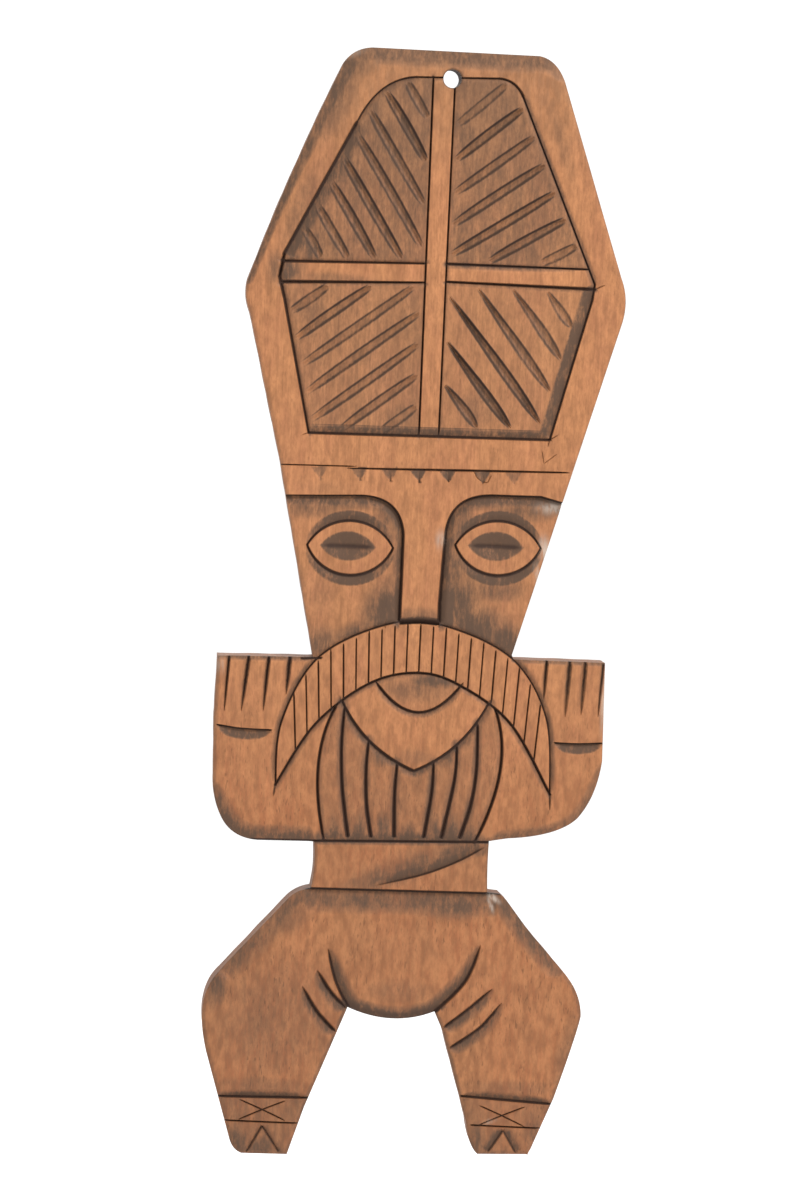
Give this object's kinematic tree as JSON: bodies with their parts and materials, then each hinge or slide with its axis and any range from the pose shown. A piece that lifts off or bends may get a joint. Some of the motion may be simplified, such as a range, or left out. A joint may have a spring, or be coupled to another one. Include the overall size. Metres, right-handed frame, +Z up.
{
  "type": "carved wooden figure plaque",
  "caption": "Flat relief-carved wall plaque of a moustached, bearded man in a tall hat with raised hands, sash and baggy trousers, hung from a drilled hole.",
  "frame": {"origin": "where the axis of the hanging hole meets the flat back face", "axes": "+Z up along the figure, +Y out of the back face towards the wall, +X to the right of somebody looking at the front"},
  "size_m": [0.1417, 0.015, 0.4008],
  "materials": {
    "waxed_wood": "warm orange-brown fine-grained wood, grain upright, knife-finished, thin dark stain rubbed off the high faces, low sheen",
    "stained_wood": "the same wood where the grey-brown stain was left in the lowered ground and the gouge strokes"
  },
  "bodies": {
    "root": {"core_board": "waxed_wood", "hat_border": "waxed_wood", "hat_upright_bar": "waxed_wood", "hat_cross_bar_left": "waxed_wood", "hat_cross_bar_right": "waxed_wood", "hat_field_upper_left": "stained_wood", "hat_field_upper_right": "stained_wood", "hat_field_lower_left": "stained_wood", "hat_field_lower_right": "stained_wood", "forehead_and_nose": "waxed_wood", "cheek_left": "stained_wood", "cheek_right": "stained_wood", "eye_left": "waxed_wood", "eye_right": "waxed_wood", "moustache": "waxed_wood", "lower_lip": "waxed_wood", "chin": "waxed_wood", "beard": "waxed_wood", "arm_left": "waxed_wood", "arm_right": "waxed_wood", "sash": "waxed_wood", "trousers": "waxed_wood", "shoe_left": "waxed_wood", "shoe_right": "waxed_wood"}
  },
  "joints": []
}
